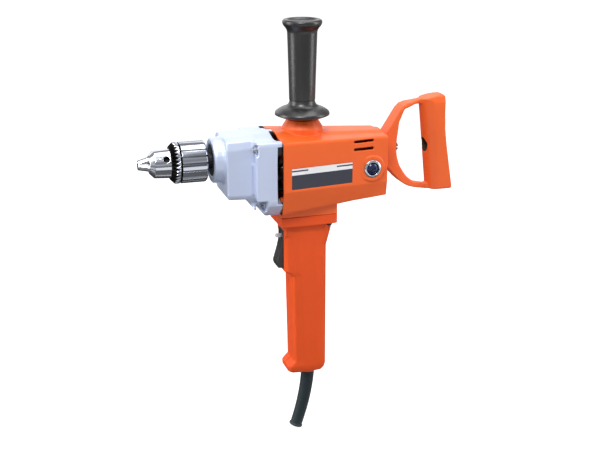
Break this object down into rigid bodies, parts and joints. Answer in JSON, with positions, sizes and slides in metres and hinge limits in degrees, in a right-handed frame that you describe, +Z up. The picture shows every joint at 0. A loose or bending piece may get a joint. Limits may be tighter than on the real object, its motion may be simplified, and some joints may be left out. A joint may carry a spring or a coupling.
{
  "type": "electric drill",
  "caption": "Hand-held electric drill with a key chuck, gear case, tapered motor housing, pistol grip with trigger, upright side handle and spade handle.",
  "frame": {"origin": "middle of the whole part's box", "axes": "chuck points along -X, +Z is up along the pistol grip and the upright handle, the tool's left side is -Y"},
  "size_m": [0.36, 0.09, 0.4842],
  "materials": {
    "orange_plastic": "moulded, satin sheen",
    "black_plastic": "moulded, soft sheen",
    "dark_moulding": "moulded, plain",
    "rubber": "matt, drawn lengthwise",
    "cast_aluminium": "die cast, fine satin",
    "bright_steel": "ground and polished",
    "tool_steel": "turned and hardened",
    "laminated_steel": "stacked sheets",
    "brass": "turned",
    "copper": "enamelled wire and copper bars",
    "carbon": "pressed graphite"
  },
  "bodies": {
    "tool": {"motor_housing": "orange_plastic", "handle_shell_left": "orange_plastic", "handle_shell_right": "orange_plastic", "spade_handle": "orange_plastic", "auxiliary_handle": "black_plastic", "brush_cap_left": "black_plastic", "brush_cap_right": "black_plastic", "bearing_bracket": "dark_moulding", "trigger_switch": "dark_moulding", "cord_guard": "rubber", "spindle_seal": "rubber", "gear_case": "cast_aluminium", "spindle_front_bearing": "bright_steel", "motor_front_bearing": "bright_steel", "motor_rear_bearing": "bright_steel", "brush_spring_left": "bright_steel", "brush_spring_right": "bright_steel", "trigger_spring": "bright_steel", "trigger_pin": "tool_steel", "auxiliary_handle_stud": "tool_steel", "spade_handle_bolt": "tool_steel", "case_screw_1": "tool_steel", "case_screw_2": "tool_steel", "case_screw_3": "tool_steel", "case_screw_4": "tool_steel", "handle_screw_1": "tool_steel", "handle_screw_2": "tool_steel", "base_screw_1": "tool_steel", "base_screw_2": "tool_steel", "field_stator": "laminated_steel", "brush_holder_left": "brass", "brush_holder_right": "brass", "auxiliary_handle_insert": "brass", "spindle_rear_bush": "brass", "intermediate_shaft_rear_bush": "brass", "intermediate_shaft_front_bush": "brass", "field_coil_upper": "copper", "field_coil_lower": "copper", "carbon_brush_left": "carbon", "carbon_brush_right": "carbon"},
    "spindle": {"spindle": "tool_steel", "spindle_gear": "tool_steel", "chuck_body": "bright_steel", "arbor_screw": "tool_steel"},
    "sleeve": {"chuck_sleeve": "bright_steel", "chuck_nut": "tool_steel"},
    "jaw_1": {"chuck_jaw_1": "tool_steel"},
    "jaw_2": {"chuck_jaw_2": "tool_steel"},
    "jaw_3": {"chuck_jaw_3": "tool_steel"},
    "intermediate": {"intermediate_shaft": "tool_steel", "intermediate_gear": "tool_steel"},
    "armature": {"armature_shaft": "tool_steel", "armature_core": "laminated_steel", "armature_winding": "copper", "commutator": "copper", "cooling_fan": "dark_moulding"},
    "trigger": {"trigger": "black_plastic"},
    "reversing_lever": {"reversing_lever": "cast_aluminium"}
  },
  "joints": [
    {"name": "spindle_spin", "type": "hinge", "parent": "tool", "child": "spindle", "pos_m": [-0.03115, 0, 0.09449], "axis": [1, 0, 0], "continuous": true},
    {"name": "intermediate_spin", "type": "hinge", "parent": "tool", "child": "intermediate", "pos_m": [-0.03115, 0, 0.06449], "axis": [1, 0, 0], "continuous": true},
    {"name": "armature_spin", "type": "hinge", "parent": "tool", "child": "armature", "pos_m": [-0.03115, 0, 0.07949], "axis": [1, 0, 0], "continuous": true},
    {"name": "chuck_sleeve_turn", "type": "hinge", "parent": "spindle", "child": "sleeve", "pos_m": [-0.12615, 0, 0.09449], "axis": [1, 0, 0], "range_deg": [0, 5347.7]},
    {"name": "chuck_jaw_1_slide", "type": "slide", "parent": "spindle", "child": "jaw_1", "axis": [0.9613, 0, 0.2756], "range_m": [0, 0.02358]},
    {"name": "chuck_jaw_2_slide", "type": "slide", "parent": "spindle", "child": "jaw_2", "axis": [0.9613, -0.2387, -0.1378], "range_m": [0, 0.02358]},
    {"name": "chuck_jaw_3_slide", "type": "slide", "parent": "spindle", "child": "jaw_3", "axis": [0.9613, 0.2387, -0.1378], "range_m": [0, 0.02358]},
    {"name": "trigger_pull", "type": "hinge", "parent": "tool", "child": "trigger", "pos_m": [-0.01715, 0, 0.00749], "axis": [0, -1, 0], "range_deg": [0, 8.6], "stiffness_Nm_per_rad": 1.2, "springref_deg": -4.58, "deforming": ["trigger_spring"]},
    {"name": "reversing_lever_swing", "type": "hinge", "parent": "tool", "child": "reversing_lever", "pos_m": [-0.00715, 0, 0.00149], "axis": [0, 0, 1], "range_deg": [-12, 12]}
  ],
  "couplings": [
    {"joint": "intermediate_spin", "follows": "spindle_spin", "ratio": -3.8},
    {"joint": "armature_spin", "follows": "spindle_spin", "ratio": 17.914},
    {"joint": "chuck_jaw_1_slide", "follows": "chuck_sleeve_turn", "m_per_rad": 0.00025266},
    {"joint": "chuck_jaw_2_slide", "follows": "chuck_sleeve_turn", "m_per_rad": 0.00025266},
    {"joint": "chuck_jaw_3_slide", "follows": "chuck_sleeve_turn", "m_per_rad": 0.00025266}
  ]
}
